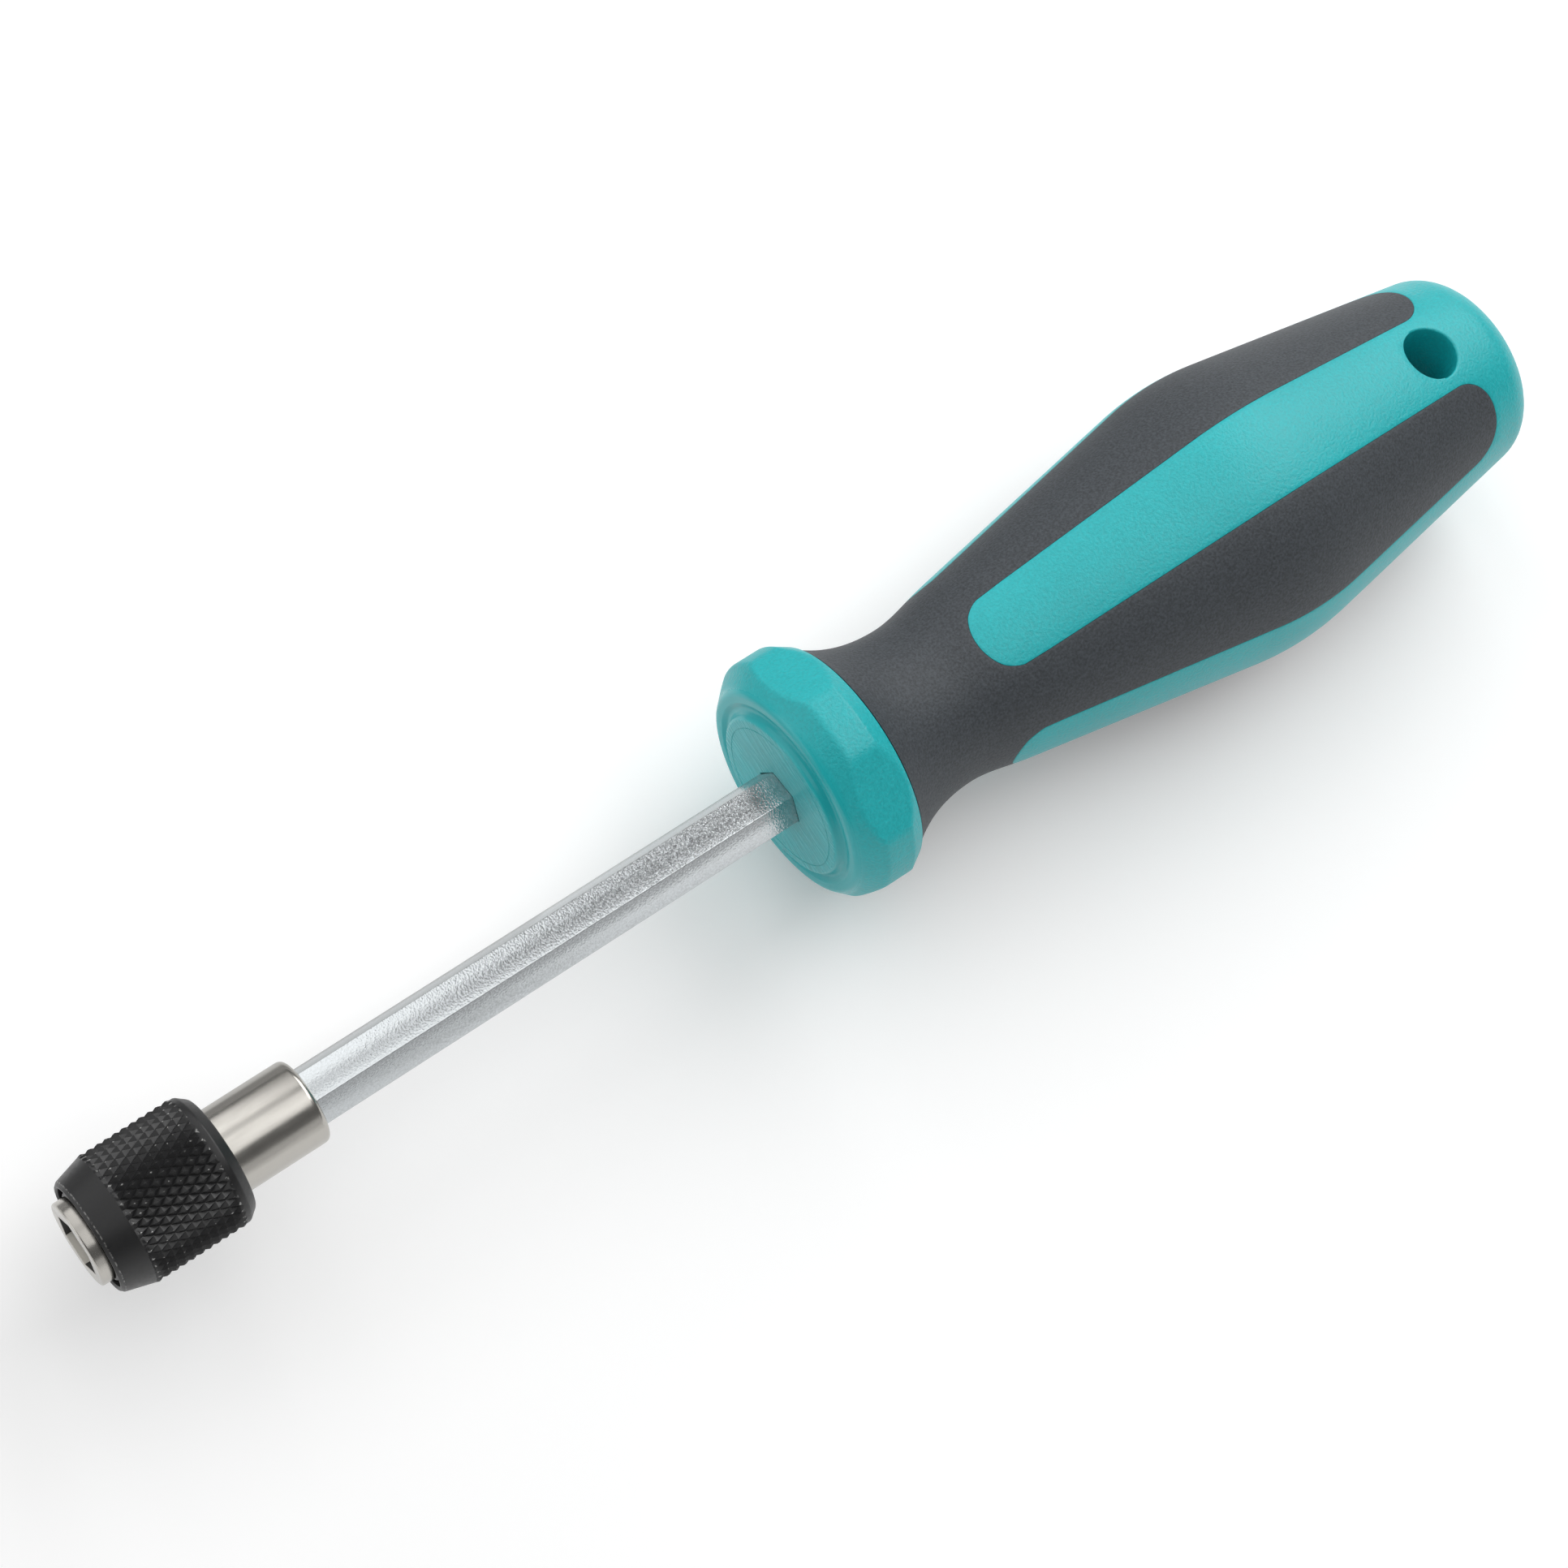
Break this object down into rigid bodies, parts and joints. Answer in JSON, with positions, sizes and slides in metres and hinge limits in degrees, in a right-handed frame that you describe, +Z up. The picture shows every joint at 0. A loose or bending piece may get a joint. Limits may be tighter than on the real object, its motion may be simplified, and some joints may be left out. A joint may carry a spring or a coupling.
{
  "type": "bit holder screwdriver",
  "caption": "Hand screwdriver with a sprung quick-release hex bit holder, a hex shaft and a waisted handle of hard plastic with soft grip panels and a hanging hole.",
  "frame": {"origin": "centre of the mouth of the bit socket, on the axis of the tool", "axes": "+X along the tool from the socket's mouth to the butt, +Z up along the hanging hole, with a flat of the bolster facing down"},
  "size_m": [0.202, 0.0358, 0.0358],
  "materials": {
    "hard_plastic": "satin",
    "soft_grip": "matte",
    "zinc_steel": "satin",
    "nickel_steel": "satin",
    "magnet": "satin",
    "spring_steel": "satin",
    "black_steel": "satin",
    "ball_steel": "gloss"
  },
  "bodies": {
    "handle": {"handle_body": "hard_plastic", "soft_grip": "soft_grip", "hex_shaft": "zinc_steel", "holder_body": "nickel_steel", "bit_magnet": "magnet", "retaining_ring": "spring_steel", "backing_washer": "black_steel", "sleeve_spring": "spring_steel", "stop_ring": "spring_steel"},
    "slider": {"follower_washer": "spring_steel"},
    "sleeve": {"release_sleeve": "black_steel"},
    "ball": {"lock_ball": "ball_steel"}
  },
  "joints": [
    {"name": "sleeve_slide", "type": "slide", "parent": "handle", "child": "slider", "axis": [-1, 0, 0], "range_m": [0, 0.002], "stiffness_N_per_m": 2000, "springref_m": -0.001, "deforming": ["sleeve_spring"]},
    {"name": "sleeve_spin", "type": "hinge", "parent": "slider", "child": "sleeve", "pos_m": [0.01, 0, 0], "axis": [1, 0, 0], "continuous": true},
    {"name": "ball_lift", "type": "slide", "parent": "handle", "child": "ball", "axis": [0, -0.9925, -0.1219], "range_m": [0, 0.00075]}
  ],
  "couplings": [
    {"joint": "ball_lift", "follows": "sleeve_slide", "ratio": 0.375}
  ]
}
